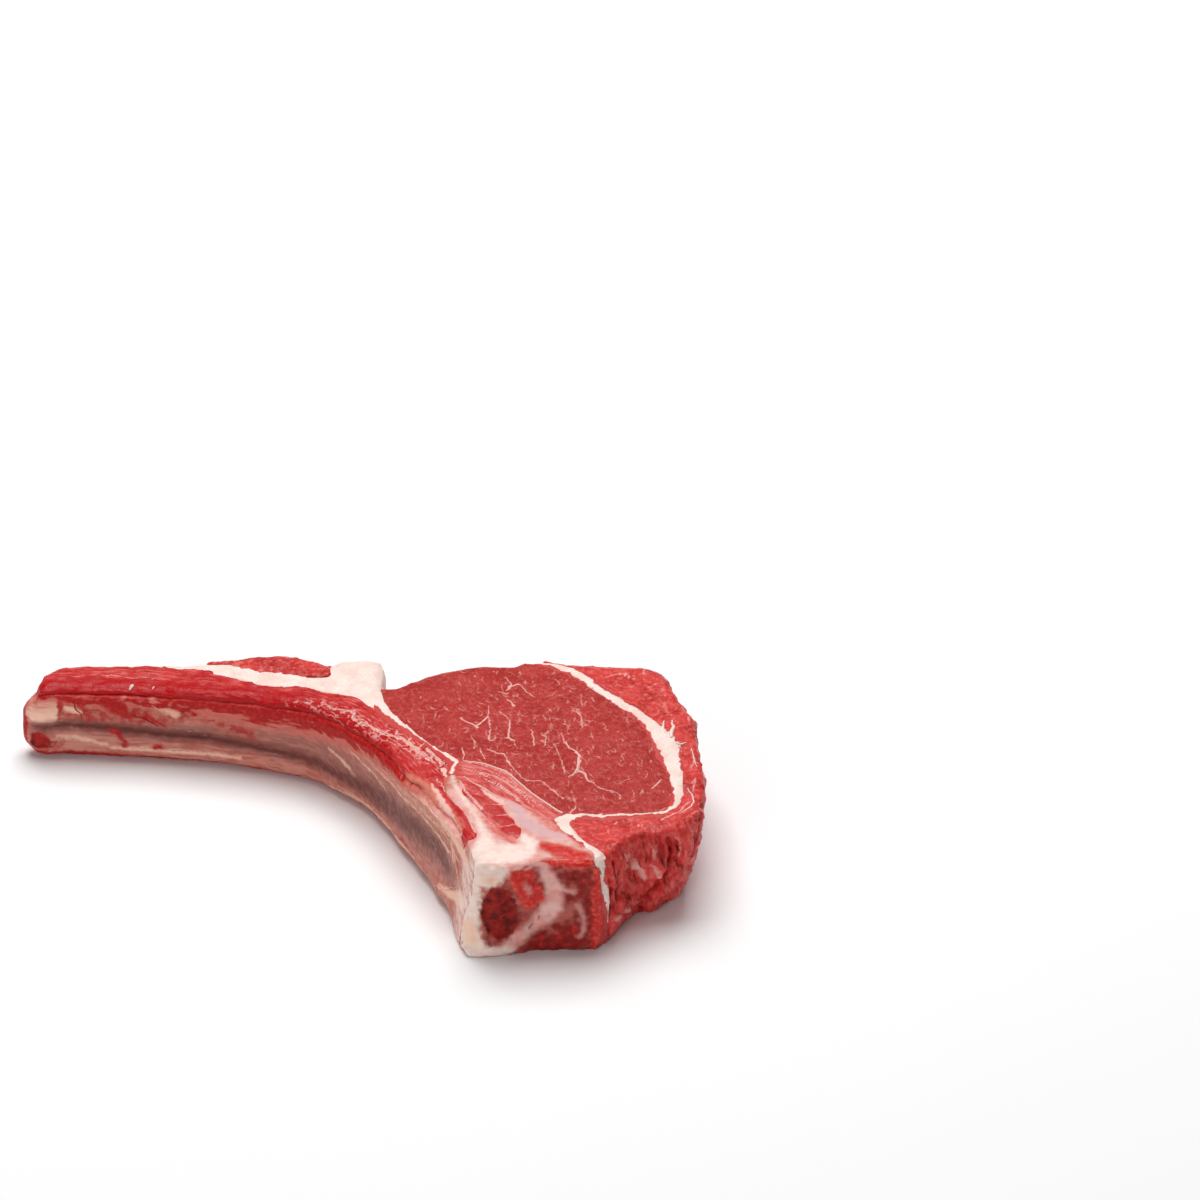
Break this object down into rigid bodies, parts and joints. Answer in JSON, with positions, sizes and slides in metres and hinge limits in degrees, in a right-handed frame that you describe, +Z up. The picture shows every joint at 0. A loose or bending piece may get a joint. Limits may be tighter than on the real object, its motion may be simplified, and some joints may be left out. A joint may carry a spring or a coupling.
{
  "type": "raw lamb chop",
  "caption": "Raw rib chop lying on one cut face: a curved rib bone with its vertebra, lean eye and outer meat, white seam fat and a craggy rim.",
  "frame": {"origin": "on the ground, under the middle of the chop's bounding box", "axes": "+X from the rib tip to the rim of the meat, +Y away from the inner curve of the rib, +Z up through the thickness of the slice"},
  "size_m": [0.1304, 0.0744, 0.0213],
  "materials": {
    "bone": "moist, porous cut bone with a membrane",
    "rib_meat": "moist raw meat",
    "rib_fat": "soft white fat",
    "flank_meat": "moist raw meat",
    "eye_muscle": "moist raw meat with fine marbling",
    "chine_muscle": "moist raw meat streaked with fat",
    "seam_fat": "soft white fat",
    "cap_muscle": "moist raw meat with a torn rim"
  },
  "bodies": {
    "root": {"bone": "bone", "rib_meat": "rib_meat", "rib_fat": "rib_fat", "flank_meat": "flank_meat", "eye_muscle": "eye_muscle", "chine_muscle": "chine_muscle", "seam_fat": "seam_fat", "cap_muscle": "cap_muscle"}
  },
  "joints": []
}
